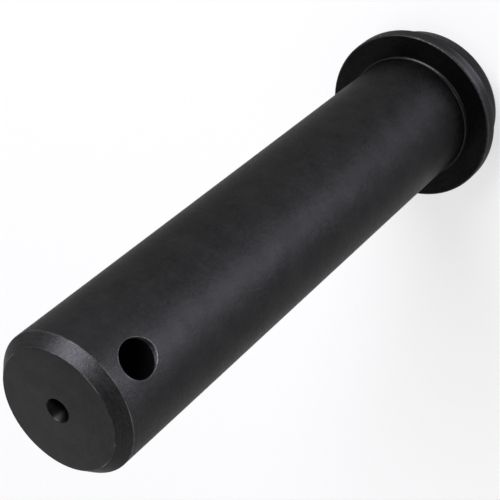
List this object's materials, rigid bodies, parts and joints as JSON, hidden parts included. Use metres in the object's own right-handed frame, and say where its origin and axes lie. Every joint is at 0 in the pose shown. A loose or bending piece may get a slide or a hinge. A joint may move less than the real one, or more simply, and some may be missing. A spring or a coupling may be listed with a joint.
{
  "type": "top link pin",
  "caption": "Headed steel pin for a tractor top link, with a flanged head, chamfered tip and a cross hole for a retaining clip.",
  "frame": {"origin": "middle of the flat back of the head, on which the pin stands", "axes": "+Z along the pin from the head to the tip, X along the cross hole"},
  "size_m": [0.0356, 0.0356, 0.1204],
  "materials": {
    "black_oxide_steel": "blackened satin, fine turning marks"
  },
  "bodies": {
    "root": {"top_link_pin": "black_oxide_steel"}
  },
  "joints": []
}
